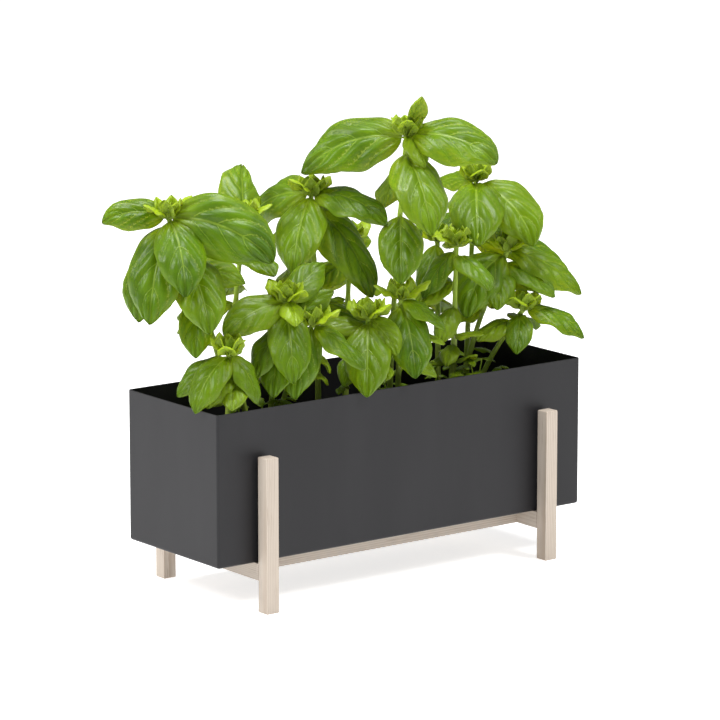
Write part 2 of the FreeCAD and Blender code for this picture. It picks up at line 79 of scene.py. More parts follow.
# The leaves of each shoot: place up the stem, then azimuth, pitch and droop in degrees, then length of
# the largest leaf's, then roll in degrees
leaf_shares = {
    "left_tall": (
        (0.98, 150, 24, 55, 0.56, 55),
        (0.90, 168, -40, 50, 0.80, 40),
        (0.95, 210, -40, 45, 0.90, 15),
        (0.97, 252, -20, 60, 0.78, -10),
        (0.98, 305, 5, 50, 1.00, -65),
        (0.82, 258, -26, 50, 0.78, -20),
        (0.76, 286, -40, 40, 0.46, 0),
        (0.76, 150, -10, 30, 0.56, 50),
        (0.64, 226, -35, 45, 0.55, 10),
        (0.75, 335, 10, 50, 0.48, -60),
        (0.86, 75, 0, 40, 0.58, 0),
        (0.58, 80, 5, 40, 0.50, 10),
    ),
    "left_low": (
        (0.92, 150, -12, 45, 0.54, 40),
        (0.74, 165, 0, 40, 0.42, 35),
        (0.97, 188, -20, 60, 0.60, 15),
        (0.82, 192, -15, 50, 0.44, 10),
        (0.98, 300, -36, 50, 0.48, -20),
        (0.62, 180, 9, 40, 0.42, 20),
        (0.74, 228, -5, 50, 0.42, 0),
    ),
    "left_front": (
        (0.97, 169, -1, 42, 0.64, 45),
        (0.97, 10, 45, 30, 0.54, -30),
        (0.84, 340, 40, 20, 0.48, -50),
        (0.98, 250, -12, 40, 0.32, 0),
        (0.80, 194, -25, 50, 0.54, 10),
        (0.64, 172, -25, 50, 0.44, 0),
        (0.92, 244, -36, 45, 0.68, 0),
        (0.76, 222, -35, 45, 0.60, 0),
        (0.58, 80, -15, 40, 0.42, 0),
    ),
    "left_back": (
        (0.97, 56, 46, 30, 0.74, -30),
        (0.95, 100, 15, 40, 0.60, 20),
        (0.80, 115, 10, 40, 0.60, 20),
        (0.82, 262, 15, 50, 0.58, 0),
        (0.60, 130, -10, 40, 0.58, 20),
        (0.55, 30, 20, 40, 0.44, -20),
        (0.96, 190, 35, 40, 0.36, 30),
        (0.68, 66, 0, 40, 0.52, -10),
        (0.42, 100, 10, 40, 0.46, 0),
    ),
    "middle_back": (
        (0.98, 108, 5, 60, 0.80, 50),
        (0.98, 302, 12, 60, 0.76, -20),
        (0.97, 214, -25, 50, 0.80, 0),
        (0.93, 301, -32, 45, 0.96, -18),
        (0.80, 30, -15, 30, 0.44, 0),
        (0.70, 98, -18, 30, 0.52, 0),
        (0.52, 300, -20, 40, 0.84, -20),
        (0.62, 210, -10, 40, 0.55, 0),
        (0.84, 136, 0, 40, 0.40, 20),
        (0.44, 125, 5, 40, 0.44, 10),
    ),
    "middle_tall": (
        (0.97, 140, 10, 60, 0.98, 50),
        (0.98, 300, 12, 50, 0.88, -40),
        (1.00, 272, 72, 20, 0.34, 0),
        (0.98, 266, -25, 40, 0.36, 0),
        (0.92, 253, -20, 50, 0.90, 0),
        (0.86, 78, -25, 40, 0.56, 0),
        (0.71, 234, -24, 45, 0.72, 0),
        (0.62, 225, -30, 40, 0.34, 0),
    ),
    "middle_front": (
        (0.94, 231, -27, 47, 0.74, 0),
        (0.74, 200, -15, 50, 0.48, 10),
        (0.95, 60, 30, 20, 0.38, 0),
        (0.97, 280, -24, 35, 0.42, -50),
        (0.88, 130, 25, 40, 0.44, 20),
        (0.62, 262, 5, 40, 0.40, 0),
    ),
    "middle_low": (
        (0.97, 296, -10, 40, 0.46, -10),
        (0.93, 250, -30, 45, 0.72, 0),
        (0.85, 20, 0, 40, 0.30, -10),
        (0.74, 306, 0, 30, 0.40, 0),
        (0.86, 214, -35, 40, 0.44, 10),
        (0.60, 300, -20, 30, 0.40, 0),
    ),
    "middle_rear": (
        (0.98, 122, 10, 40, 0.58, 20),
        (0.96, 42, 20, 40, 0.58, -20),
        (0.85, 190, 5, 50, 0.55, 30),
        (0.82, 78, -10, 40, 0.60, -10),
        (0.65, 128, -10, 40, 0.58, 20),
        (0.62, 48, -10, 40, 0.58, -20),
        (0.50, 90, 0, 40, 0.50, 0),
        (0.75, 8, 0, 40, 0.44, -20),
    ),
    "right_back": (
        (0.97, 232, 0, 60, 0.92, 0),
        (0.96, 278, 0, 70, 0.88, -30),
        (0.88, 10, 0, 30, 0.44, -20),
        (0.78, 32, -20, 40, 0.55, -20),
        (0.97, 95, 10, 30, 0.48, 30),
        (0.72, 345, 5, 50, 0.96, -30),
        (0.82, 125, 0, 40, 0.55, 20),
        (0.70, 80, 5, 40, 0.50, 0),
    ),
    "right_outer": (
        (0.98, 322, -10, 45, 0.76, -25),
        (0.90, 296, -7, 45, 0.57, -15),
        (0.82, 300, 4, 45, 0.42, -10),
        (0.95, 194, -5, 70, 0.80, 30),
        (0.72, 50, -10, 50, 0.42, -10),
        (0.86, 230, -8, 50, 0.54, 0),
        (0.60, 172, 10, 40, 0.44, 20),
        (0.80, 240, 2, 45, 0.44, 0),
        (0.34, 345, 10, 50, 0.20, 0),
        (0.24, 215, 10, 50, 0.20, 0),
    ),
    "right_inner": (
        (0.94, 168, -35, 35, 0.50, 20),
        (0.76, 158, -10, 40, 0.40, 30),
        (0.62, 205, -25, 45, 0.40, 0),
        (0.92, 272, -5, 45, 0.54, 0),
        (0.30, 290, 30, 20, 0.24, 0),
        (0.20, 250, 30, 20, 0.20, 0),
        (0.35, 174, -15, 20, 0.22, 20),
        (0.45, 276, 25, 30, 0.33, 0),
        (0.40, 215, -10, 50, 0.28, 0),
        (0.24, 250, 0, 50, 0.24, 0),
    ),
    "right_low": (
        (0.94, 225, -20, 45, 0.46, 0),
        (0.98, 312, 6, 64, 0.60, -18),
        (0.86, 175, 0, 40, 0.42, 20),
        (0.86, 30, 5, 40, 0.54, -20),
    ),
    "right_rear": (
        (0.98, 60, 20, 30, 0.56, -10),
        (0.96, 205, -42, 30, 0.50, 0),
        (0.75, 20, -10, 40, 0.60, -30),
        (0.73, 85, -20, 40, 0.60, 0),
        (0.55, 128, -10, 30, 0.54, 20),
        (0.62, 50, -5, 40, 0.50, -10),
        (0.64, 165, 5, 40, 0.42, 20),
    ),
    "left_side": (
        (0.97, 303, -20, 35, 0.58, -10),
        (0.97, 204, -47, 30, 0.66, 30),
        (0.80, 330, -20, 60, 0.34, 0),
        (0.58, 330, 20, 90, 0.34, 0),
        (0.88, 60, 0, 40, 0.42, 0),
    ),
}

# The young leaves at every tip, as azimuth past the shoot's own, pitch and length. The tuft's have solids.
# The bud's are folded round it and are only here.
tuft_shares = ((0, 38, 0.27), (180, 34, 0.24), (90, 52, 0.19), (270, 55, 0.17))
bud_shares = (
    (45, 44, 0.21), (225, 46, 0.20), (135, 52, 0.19), (315, 54, 0.19),
    (20, 64, 0.18), (200, 66, 0.17), (110, 76, 0.15), (290, 78, 0.14),
)
tuft_place_share, bud_place_share, tuft_turn_deg = 0.99, 0.977, 47
tuft_droop_deg, bud_droop_deg = 14, -26  # the solids' tufts droop more

# Leaves shorter than these shares of the largest look young or half grown, as far as the second value says
young_size_share, young_look = 0.36, 0.6
growing_size_share, growing_look = 0.45, 0.35

# Side veins: how many run to each edge, where the first starts, and how they lean and arch to the tip
vein_count, vein_start, vein_lean, vein_arch = 4.2, 0.30, 0.27, 0.26

# A blade: how far out on its stalk it starts to spread, how it bends, and how its tip hangs and narrows
blade_start_share = 0.15
heading_bend_deg, twist_deg, tip_hang_deg, young_tip_hang_deg = 9, 12, 14, 10
tip_hang_share, twist_pivot_share, young_width_share, tip_narrow_share = 0.78, 0.3, 0.3, 0.16
tooth_count, tooth_share = 9, 0.03
tip_narrow_span, tooth_span = (0.72, 0.98), (0.45, 0.7)

# Its relief, in shares of its half width (cup and wave) and of its length (domes and the midrib's groove)
extra_cup_share, young_cup_share, cup_power = 0.08, 0.10, 1.8
wave_share, wave_count, wave_shift = 0.13, 3.2, 0.8
dome_share, young_dome_share, dome_power = 0.036, 0.020, 0.85
groove_share, groove_reach_share = 0.016, 0.12

# Its thickness and how much of that the edge loses, in metres, and the share of it that the smallest lacks
blade_thickness, edge_thinning, thin_small_share = 0.00042, 0.00022, 0.3

# Where the relief sets in and fades: spans across the blade, from 0 at the midrib to 1 at the edge, and
# along it, from 0 at the stalk to 1 at the tip
wave_across, wave_start, wave_end = (0.35, 1), (0.05, 0.3), (0.9, 1)
dome_rise_across, dome_fade_across, dome_start, groove_end = (0.0, 0.22), (0.72, 1), (0.0, 0.12), (0.75, 1)

# Its grid: rows and columns of the smallest blade and how many more the largest has, how its rows crowd at
# both ends and how near to them they come, and the steps of the walk along the midrib
blade_rows, blade_columns, midrib_steps = (16, 34), (9, 14), 160
row_crowding, row_crowding_start, row_margin = 0.35, 0.06, 0.003

# Its stalk, in shares of the stalk's radius: inside the stem, at the stem, how it narrows on the way to the
# blade, and what is left of it under the blade, where it also sinks in towards its end
stalk_inside, stalk_foot, stalk_narrowing, stalk_under_blade, stalk_end_loss = 1.15, 1.1, 0.25, 0.72, 0.5
stalk_ring_shares, stalk_end_share = (0.3, 0.6, 0.85), 0.82
stalk_stand_off, stalk_sink, stalk_sink_span = 0.1, 0.7, (0.7, 1)

# The stem: how much fuller it is than its solid, and the knots where leaves leave it
stem_fullness, knot_swell, knot_reach, stem_foot_depth = 1.14, 0.22, 0.0035, 0.012
stem_rings, stem_sides, stem_squareness, stem_end_place, stem_end_taper = 61, 16, 0.07, 0.985, 0.5

# Seedlings that came up between the shoots: pot, place on its top radius, height in metres, and turn in
# degrees
sprout_shares = (
    (-1, -0.45, -0.62, 0.046, 20), (-1, -0.05, -0.78, 0.040, 75), (-1, 0.20, -0.74, 0.050, 130),
    (-1, 0.52, -0.58, 0.046, 10), (-1, 0.66, 0.05, 0.040, 60), (-1, -0.62, -0.20, 0.036, 95),
    (0, -0.62, -0.48, 0.046, 35), (0, -0.10, -0.76, 0.052, 80), (0, 0.14, -0.70, 0.043, 140),
    (0, 0.62, -0.40, 0.054, 15), (0, 0.05, -0.30, 0.060, 100), (0, 0.70, -0.05, 0.044, 60),
    (1, -0.62, -0.52, 0.046, 30), (1, -0.36, -0.60, 0.056, 70), (1, -0.50, 0.10, 0.062, 110),
    (1, -0.20, -0.35, 0.052, 160), (1, -0.78, -0.05, 0.050, 50), (1, 0.15, -0.60, 0.043, 20),
)

# A seedling's leaves: ring of its stalk, step round it in degrees, and length of the largest leaf's. Then
# its stalk, which leans and carries the leaves' own values for its colour.
sprout_leaf_shares = ((8, 0, 0.15), (8, 180, 0.14), (6, 90, 0.12), (6, 270, 0.12))
sprout_rings, sprout_depth, sprout_lean_share, sprout_lean_turn = 9, 0.004, 0.16, 2.3
sprout_base_radius, sprout_tip_radius = 0.0009, 0.0006
sprout_pitch_deg, sprout_droop_deg, sprout_look = 12.0, 60.0, 0.25
sprout_stalk_place, sprout_stalk_look = (0.0, 0.0, 0.02), (0.6, 0.5, 0.6)

# The soil: its grid, its unevenness, and the crumbs on it
soil_segments, soil_rings, soil_edge_share = 120, 34, 0.985
lump_height, swell_height = 0.0005, 0.0008
swell_turns_x, swell_turns_y, swell_bend, swell_bend_turns = 420, 370, 3, 310
crumb_count, crumb_least, crumb_most, crumb_reach_share, crumb_lift = 420, 0.0005, 0.0017, 0.965, 0.0004
crumb_shrink, crumb_dents, crumb_squash = (0.6, 1), (0.7, 1.25), (0.6, 1)


# Meshes


class Shape:
    """Points, faces and per-point values of one piece, gathered part by part."""

    def __init__(self):
        self.points, self.faces, self.count = [], [], 0
        self.values = {"leaf_place": [], "leaf_look": []}

    def add(self, points, faces, place=None, look=None):
        points = np.asarray(points, float).reshape(-1, 3)
        self.points.append(points)
        self.faces += [tuple(self.count + i for i in face) for face in faces]
        self.count += len(points)
        for name, value in (("leaf_place", place), ("leaf_look", look)):
            empty = np.zeros((len(points), 3))
            self.values[name].append(empty if value is None else np.broadcast_to(value, (len(points), 3)))

    def piece(self, name, material, smooth=True):
        mesh = bpy.data.meshes.new(name)
        mesh.from_pydata(np.vstack(self.points).tolist(), [], self.faces)
        for key, parts in self.values.items():
            layer = mesh.attributes.new(key, "FLOAT_VECTOR", "POINT")
            layer.data.foreach_set("vector", np.vstack(parts).astype(np.float32).ravel())
        mesh.polygons.foreach_set("use_smooth", [smooth] * len(mesh.polygons))
        mesh.materials.append(material)
        mesh.update()
        piece = bpy.data.objects.new(name, mesh)
        bpy.context.scene.collection.objects.link(piece)
        return piece


def grid_faces(rows, columns, start=0, flip=False):
    """Faces of a grid of points, row after row, whose first point has the number start."""
    faces = []
    for i in range(rows - 1):
        for j in range(columns - 1):
            a = start + i * columns + j
            face = (a, a + 1, a + columns + 1, a + columns)
            faces.append(face[::-1] if flip else face)
    return faces


def sheet_faces(rows, columns):
    """Faces of a closed sheet: a grid's upper points, then its lower ones, and the rim between them."""
    count = rows * columns
    faces = grid_faces(rows, columns, 0, True) + grid_faces(rows, columns, count)
    rim = list(range(columns))
    rim += [i * columns + columns - 1 for i in range(1, rows)]
    rim += [(rows - 1) * columns + j for j in range(columns - 2, -1, -1)]
    rim += [i * columns for i in range(rows - 2, 0, -1)]
    for a, b in zip(rim, rim[1:] + rim[:1]):
        faces.append((a, b, b + count, a + count))
    return faces


def tube(path, radii, sides=8, square=0.0):
    """Points and faces of a closed tube along a path; square pushes its section towards a square."""
    path = np.asarray(path, float)
    ways = np.gradient(path, axis=0)
    ways /= np.linalg.norm(ways, axis=1)[:, None]
    guide = np.array((0.0, 0.0, 1.0)) if abs(ways[:, 2]).mean() < 0.8 else np.array((1.0, 0.0, 0.0))
    angles = np.arange(sides) * 2 * math.pi / sides
    reach = 1 + square * np.cos(4 * angles)
    points = []
    for centre, way, radius in zip(path, ways, radii):
        first = np.cross(way, guide)
        first /= np.linalg.norm(first)
        second = np.cross(way, first)
        for angle, r in zip(angles, reach):
            points.append(centre + radius * r * (first * math.cos(angle) + second * math.sin(angle)))
    rings = len(path)
    faces = []
    for i in range(rings - 1):
        for j in range(sides):
            a, b = i * sides + j, i * sides + (j + 1) % sides
            faces.append((a, a + sides, b + sides, b))
    points += [path[0], path[-1]]
    last = (rings - 1) * sides
    for j in range(sides):
        k = (j + 1) % sides
        faces.append((rings * sides, j, k))
        faces.append((rings * sides + 1, last + k, last + j))
    return points, faces


# The basil


def aim(azimuth, pitch):
    """The unit vector that points along an azimuth and a pitch in degrees, or a row of them."""
    turn, rise = np.radians(azimuth), np.radians(pitch)
    flat = np.cos(rise)
    return np.stack((np.cos(turn) * flat, np.sin(turn) * flat, np.sin(rise) + 0 * turn), -1)


def smooth_step(low, high, x):
    """0 up to low, 1 from high on, and smooth in between."""
    t = np.clip((x - low) / (high - low), 0, 1)
    return t * t * (3 - 2 * t)


def stem_root(shoot):
    """Where a shoot comes out of the soil."""
    number, root_x, root_y = shoot_shares[shoot][:3]
    radius = pot_top_diameter / 2
    return number * pot_spacing + root_x * radius, root_y * radius


def stem_point(shoot, place):
    """The stem's middle, from 0 at the soil to 1 at the tip."""
    number, _, _, tip_x, tip_y, tip_z = shoot_shares[shoot]
    x, y = stem_root(shoot)
    lean = place**stem_bow_share
    end_x, end_y = (number + tip_x) * pot_spacing, tip_y * pot_spacing
    rise = rim_z + tip_z * plant_height - soil_top_z
    return np.array((x + (end_x - x) * lean, y + (end_y - y) * lean, soil_top_z + rise * place))


def stem_radius(place):
    """The radius of a stem's solid, from 0 at the soil to 1 at the tip."""
    return stem_base_radius + (stem_tip_radius - stem_base_radius) * place


def outline_share(s):
    """A leaf's half width along its midrib, of its widest."""
    widest = leaf_base_share / (leaf_base_share + leaf_tip_share)
    most = widest**leaf_base_share * (1 - widest) ** leaf_tip_share
    return s**leaf_base_share * (1 - s) ** leaf_tip_share / most


def vein_phase(s, w):
    """Whole at a side vein and half between two, at a place along the midrib and across the blade."""
    return (s - vein_lean * w - vein_arch * w * w) * vein_count + vein_start


def stalk_radius(size):
    """The radius of a leaf's stalk, thinner on a small leaf."""
    return petiole_radius * (small_petiole_share + (1 - small_petiole_share) * size)


def midrib(start, reach, azimuth, pitch, droop, hang, bend, s):
    """A midrib walked from its stalk to its tip: its points at s, and there the ways along and across."""
    fine = np.linspace(0, 1, midrib_steps + 1)
    headings = azimuth + heading_bend_deg * bend * fine**1.5
    pitches = pitch - droop * fine - hang * smooth_step(tip_hang_share, 1, fine)
    steps = aim(headings, pitches) * reach / midrib_steps
    walk = start + np.vstack((np.zeros(3), np.cumsum((steps[1:] + steps[:-1]) / 2, axis=0)))
    middle = np.stack([np.interp(s, fine, walk[:, k]) for k in range(3)], -1)
    along = aim(np.interp(s, fine, headings), np.interp(s, fine, pitches))
    across = aim(np.interp(s, fine, headings) - 90, 0 * s)
    return middle, along, across


def half_width(s, length, young, phase):
    """Half of a blade's width at s, with a narrow tip and a toothed edge towards it."""
    half = outline_share(s) * length * leaf_width_share / 2 * (1 + young_width_share * young)
    half = half * (1 - tip_narrow_share * smooth_step(*tip_narrow_span, s))
    bite = np.abs(np.sin(s * math.pi * tooth_count + phase))
    return half * (1 + tooth_share * smooth_step(*tooth_span, s) * bite)


def blade_relief(S, W, half, length, young, wave, phase):
    """How far a blade stands off flat: its cup, wavy edge, domes between the veins and midrib's groove."""
    A = np.abs(W)
    cup = leaf_cup_share + extra_cup_share + young_cup_share * young
    relief = -cup * half[:, None] * A**cup_power
    edge = smooth_step(*wave_across, A) * smooth_step(*wave_start, S) * (1 - smooth_step(*wave_end, S))
    turn = S * math.pi * (wave_count + wave) + phase * 3 + np.sign(W) * wave_shift
    relief += wave_share * half[:, None] * edge * np.sin(turn)
    between = np.abs(np.sin(np.pi * vein_phase(S, A))) ** dome_power
    inner = smooth_step(*dome_rise_across, A) * (1 - smooth_step(*dome_fade_across, A))
    inner = inner * smooth_step(*dome_start, S)
    relief += (dome_share + young_dome_share * young) * length * between * inner
    groove = np.exp(-((A / groove_reach_share) ** 2)) * (1 - smooth_step(*groove_end, S))
    return relief - groove_share * length * groove


def add_stalk(shape, foot, start, back, normal, way, size, look):
    """A leaf's stalk, which runs on along the blade's back as its midrib."""
    thick = stalk_radius(size)
    path = [foot - way * (seat_gap + 2 * thick), foot]
    radii = [thick * stalk_inside, thick * stalk_foot]
    for share in stalk_ring_shares:
        path.append(foot + (start - foot) * share)
        radii.append(thick * (1.0 - stalk_narrowing * share))
    last = int(len(back) * stalk_end_share)
    for i in range(2, last, 2):
        t = i / last
        radius = thick * (stalk_under_blade - stalk_end_loss * t)
        off = stalk_stand_off - stalk_sink * smooth_step(*stalk_sink_span, t)
        path.append(back[i] - normal[i] * radius * off)
        radii.append(radius)
    points, faces = tube(path, radii)
    shape.add(points, faces, (0.0, 0.0, size * leaf_length), look)


def add_leaf(shape, foot, azimuth, pitch, droop, size, roll, young):
    """A leaf and its stalk: a thin closed blade with sunken veins and domes between them."""
    bend, twist, wave, phase = random.uniform(-1, 1, 4)
    tone = random.uniform(-1, 1)
    length = size * leaf_length
    bare = blade_start_share * petiole_length_share
    start = foot + aim(azimuth, pitch) * length * bare
    rows = int(blade_rows[0] + blade_rows[1] * size)
    columns = int(blade_columns[0] + blade_columns[1] * size) // 2 * 2 + 1

    # Places along the midrib, closer together near both ends
    s = 0.5 - 0.5 * np.cos(np.linspace(row_crowding_start, 1, rows) * math.pi)
    s = row_crowding * s + (1 - row_crowding) * np.linspace(0, 1, rows)
    s = row_margin + (1 - 2 * row_margin) * s
    hang = tip_hang_deg + young_tip_hang_deg * young
    reach = length * (1 + petiole_length_share - bare)
    middle, along, across = midrib(start, reach, azimuth, pitch, droop, hang, bend, s)
    tilt = np.radians(roll + twist_deg * twist * (s - twist_pivot_share))[:, None]
    side = across * np.cos(tilt) + np.cross(across, along) * np.sin(tilt)
    normal = np.cross(side, along)

    half = half_width(s, length, young, phase)
    S, W = np.meshgrid(s, np.linspace(-1, 1, columns), indexing="ij")
    lift = blade_relief(S, W, half, length, young, wave, phase)[..., None] * normal[:, None, :]
    top = middle[:, None, :] + side[:, None, :] * (half[:, None] * W)[..., None] + lift
    sheet = (blade_thickness - edge_thinning * W**2) * (1 - thin_small_share + thin_small_share * size)
    under = top - normal[:, None, :] * sheet[..., None]
    points = np.vstack((top.reshape(-1, 3), under.reshape(-1, 3)))
    place = np.stack((S, np.abs(W), np.full_like(S, length)), -1).reshape(-1, 3)
    look = np.repeat(((tone, young, 0.0), (tone, young, 1.0)), rows * columns, axis=0)
    shape.add(points, sheet_faces(rows, columns), np.vstack((place, place)), look)
    back = under[:, columns // 2]
    add_stalk(shape, foot, start, back, normal, aim(azimuth, pitch), size, (tone, young, 0.5))


def leaf_rows(shoot):
    """Every leaf of a shoot: place, azimuth, pitch, droop, size, roll and how young it is."""
    rows = []
    for row in leaf_shares[shoot]:
        young = growing_look if row[4] < growing_size_share else 0.0
        if row[4] < young_size_share:
            young = young_look
        rows.append((*row, young))
    start = list(leaf_shares).index(shoot) * tuft_turn_deg
    for turn, pitch, size in tuft_shares:
        rows.append((tuft_place_share, start + turn, pitch, tuft_droop_deg, size, 0, 1.0))
    for turn, pitch, size in bud_shares:
        rows.append((bud_place_share, start + turn, pitch, bud_droop_deg, size, 0, 1.0))
    return rows


def make_shoot(shoot, leaf_skin, stem_skin):
    """The leaves of a shoot as one piece, and its stem as another."""
    number = shoot_shares[shoot][0]
    body = sides[number] + "_pot"
    rows = leaf_rows(shoot)
    leaves = Shape()
    for place, azimuth, pitch, droop, size, roll, young in rows:
        reach = stem_radius(place) + seat_gap + stalk_radius(size) * abs(math.sin(math.radians(pitch)))
        foot = stem_point(shoot, place) + aim(azimuth, 0.0) * reach
        add_leaf(leaves, foot, azimuth, pitch, droop, size, roll, young)
    piece = leaves.piece(shoot + "_foliage", leaf_skin)
    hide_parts(shoot + "_leaves")
    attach(piece, body)

    # The stem: squarish, thicker where leaves leave it, standing in the soil
    places = np.linspace(0, 1, stem_rings)
    path = [stem_point(shoot, 0.0) - np.array((0, 0, stem_foot_depth))]
    path += [stem_point(shoot, t) for t in places]
    height = path[-1][2] - path[0][2]
    knots = sorted({row[0] for row in rows})
    radii = [stem_base_radius]
    for t in places:
        swell = sum(math.exp(-(((t - knot) * height / knot_reach) ** 2)) for knot in knots)
        full = stem_fullness + knot_swell * min(swell, 1.0)
        radii.append(stem_radius(t) * full * (1 - stem_end_taper * smooth_step(stem_end_place, 1, t)))
    stem = Shape()
    points, faces = tube(path, radii, stem_sides, stem_squareness)
    rise = np.array([0.0] + list(places)).repeat(stem_sides)
    rise = np.append(rise, (0.0, 1.0))
    look = np.stack((rise, rise * 0, rise * 0), -1)
    stem.add(points, faces, look, look)
    piece = stem.piece(shoot + "_stalk", stem_skin)
    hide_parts(shoot + "_stem")
    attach(piece, body)


def make_seedlings(number, leaf_skin):
    """Thin pale stalks with two pairs of small round leaves each."""
    shape = Shape()
    for pot, share_x, share_y, height, turn in sprout_shares:
        if pot != number:
            continue
        radius = pot_top_diameter / 2
        x, y = number * pot_spacing + share_x * radius, share_y * radius
        foot = np.array((x, y, soil_top_z - sprout_depth))
        lean = aim(turn * sprout_lean_turn, 0.0) * height * sprout_lean_share
        path = [foot + lean * t**2 + np.array((0, 0, height * t)) for t in np.linspace(0, 1, sprout_rings)]
        points, faces = tube(path, np.linspace(sprout_base_radius, sprout_tip_radius, sprout_rings))
        shape.add(points, faces, sprout_stalk_place, sprout_stalk_look)
        for place, step, size in sprout_leaf_shares:
            way = (turn + step, sprout_pitch_deg, sprout_droop_deg)
            add_leaf(shape, path[place], *way, size, 0.0, sprout_look)
    piece = shape.piece("seedlings_" + sides[number], leaf_skin)
    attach(piece, sides[number] + "_pot")


# The soil


def rough_ball():
    """Points and faces of a lump between two tips, with two rings of six points."""
    points = [(0, 0, 1)]
    ring_radius, ring_height = 0.87, 0.5
    for level in (ring_height, -ring_height):
        for k in range(6):
            a = (k + (level < 0) / 2) * math.pi / 3
            points.append((math.cos(a) * ring_radius, math.sin(a) * ring_radius, level))
    faces = [(0, 1 + k, 1 + (k + 1) % 6) for k in range(6)]
    for k in range(6):
        n = (k + 1) % 6
        faces += [(1 + k, 7 + k, 1 + n), (1 + n, 7 + k, 7 + n), (13, 7 + n, 7 + k)]
    return np.array(points + [(0, 0, -1)]), faces


def add_crumbs(shape, centre, most):
    """Small uneven lumps, half sunk in the soil within a circle, each with its own value for its colour."""
    ball, faces = rough_ball()
    top = pot_top_diameter / 2 - pot_lip_overhang
    for _ in range(crumb_count):
        r = most * crumb_reach_share * math.sqrt(random.uniform(0, 1))
        a = random.uniform(0, 2 * math.pi)
        size = random.uniform(crumb_least, crumb_most) * random.uniform(*crumb_shrink)
        z = soil_top_z - soil_crown * (r / top) ** 2 + crumb_lift
        spot = np.array((centre + r * math.cos(a), r * math.sin(a), z))
        lump = ball * random.uniform(*crumb_dents, ball.shape) * random.uniform(*crumb_squash, 3) * size
        shape.add(lump + spot, faces, None, (random.uniform(0, 1), 0, 0))


def make_soil(number, skin):
    """The root ball, with a crumbly top and loose crumbs on it."""
    centre = number * pot_spacing
    top = pot_top_diameter / 2 - pot_lip_overhang
    base = pot_base_diameter / 2
    base_z = pot_floor_z + pot_foot_height + pot_wall

    def reach(z):
        return base + (top - base) * (z - pot_floor_z) / pot_height - pot_wall - soil_side_gap

    edge_z = soil_top_z - soil_crown
    shape = Shape()
    segments, rings = soil_segments, soil_rings
    points = [(centre, 0, soil_top_z)]
    for i in range(1, rings + 1):
        r = reach(edge_z) * i / rings
        for j in range(segments):
            a = 2 * math.pi * j / segments
            z = soil_top_z - soil_crown * (i / rings) ** 2
            points.append((centre + r * math.cos(a), r * math.sin(a), z))
    points = np.array(points)
    inner = np.hypot(points[:, 0] - centre, points[:, 1]) < reach(edge_z) * soil_edge_share
    lumps = random.uniform(-1, 1, len(points))
    bend = swell_bend * np.sin(points[:, 1] * swell_bend_turns)
    swells = np.sin(points[:, 0] * swell_turns_x + bend) * np.sin(points[:, 1] * swell_turns_y + number)
    points[:, 2] += np.where(inner, lump_height * lumps + swell_height * swells, 0.0)
    faces = [(0, 1 + j, 1 + (j + 1) % segments) for j in range(segments)]
    for i in range(rings - 1):
        for j in range(segments):
            a, b = 1 + i * segments + j, 1 + i * segments + (j + 1) % segments
            faces.append((a, a + segments, b + segments, b))
    rim = 1 + (rings - 1) * segments
    low = [(centre + reach(base_z) * math.cos(2 * math.pi * j / segments),
            reach(base_z) * math.sin(2 * math.pi * j / segments), base_z) for j in range(segments)]
    count = len(points)
    points = np.vstack((points, low, [(centre, 0, base_z)]))
    for j in range(segments):
        k = (j + 1) % segments
        faces.append((rim + j, count + j, count + k, rim + k))
        faces.append((count + segments, count + k, count + j))
    shape.add(points, faces)
    add_crumbs(shape, centre, reach(edge_z))
    piece = shape.piece("soil_bed_" + sides[number], skin, False)
    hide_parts("soil_" + sides[number])
    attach(piece, sides[number] + "_pot")


# Materials


class Nodes:
    """Short ways to add shader nodes to one material."""

    def __init__(self, name):
        self.material = bpy.data.materials.new(name)
        self.material.use_nodes = True
        self.tree = self.material.node_tree
        self.shader = self.tree.nodes["Principled BSDF"]

    def put(self, target, value):
        """Link a node's output to an input, or set the input to a plain value."""
        if isinstance(value, bpy.types.NodeSocket):
            self.tree.links.new(value, target)
        elif value is not None:
            target.default_value = value

    def node(self, kind, inputs=None, **options):
        node = self.tree.nodes.new("ShaderNode" + kind)
        for key, value in options.items():
            setattr(node, key, value)
        for key, value in (inputs or {}).items():
            self.put(node.inputs[key], value)
        return node

    def math(self, operation, a, b=None, c=None, clamp=False):
        node = self.node("Math", operation=operation, use_clamp=clamp)
        for socket, value in zip(node.inputs, (a, b, c)):
            self.put(socket, value)
        return node.outputs[0]

    def mix(self, share, a, b):
        node = self.node("Mix", data_type="RGBA")
        self.put(node.inputs["Factor"], share)
        self.put(node.inputs["A"], a)
        self.put(node.inputs["B"], b)
        return node.outputs["Result"]

    def steps(self, value, low, high, first=0.0, last=1.0):
        """A smooth change from first to last as a value goes from low to high."""
        node = self.node("MapRange", {"Value": value, "From Min": low, "From Max": high, "To Min": first,
                                      "To Max": last}, interpolation_type="SMOOTHSTEP")
        return node.outputs["Result"]

    def noise(self, place, scale, detail=3.0, rough=0.5):
        return self.node("TexNoise", {"Vector": place, "Scale": scale, "Detail": detail,
                                      "Roughness": rough}).outputs["Fac"]

    def here(self):
        return self.node("TexCoord").outputs["Object"]

    def stretched(self, place, scale, shift=(0, 0, 0)):
        return self.node("Mapping", {"Vector": place, "Scale": scale, "Location": shift}).outputs["Vector"]

    def bump(self, height, distance, strength=1.0):
        """Fine relief in the light only, with its depth in metres."""
        node = self.node("Bump", {"Height": height, "Distance": distance, "Strength": strength})
        self.put(self.shader.inputs["Normal"], node.outputs["Normal"])

    def finish(self, colour, rough, **values):
        self.put(self.shader.inputs["Base Color"], colour)
        self.put(self.shader.inputs["Roughness"], rough)
        for key, value in values.items():
            self.shader.inputs[key.replace("_", " ")].default_value = value
        return self.material


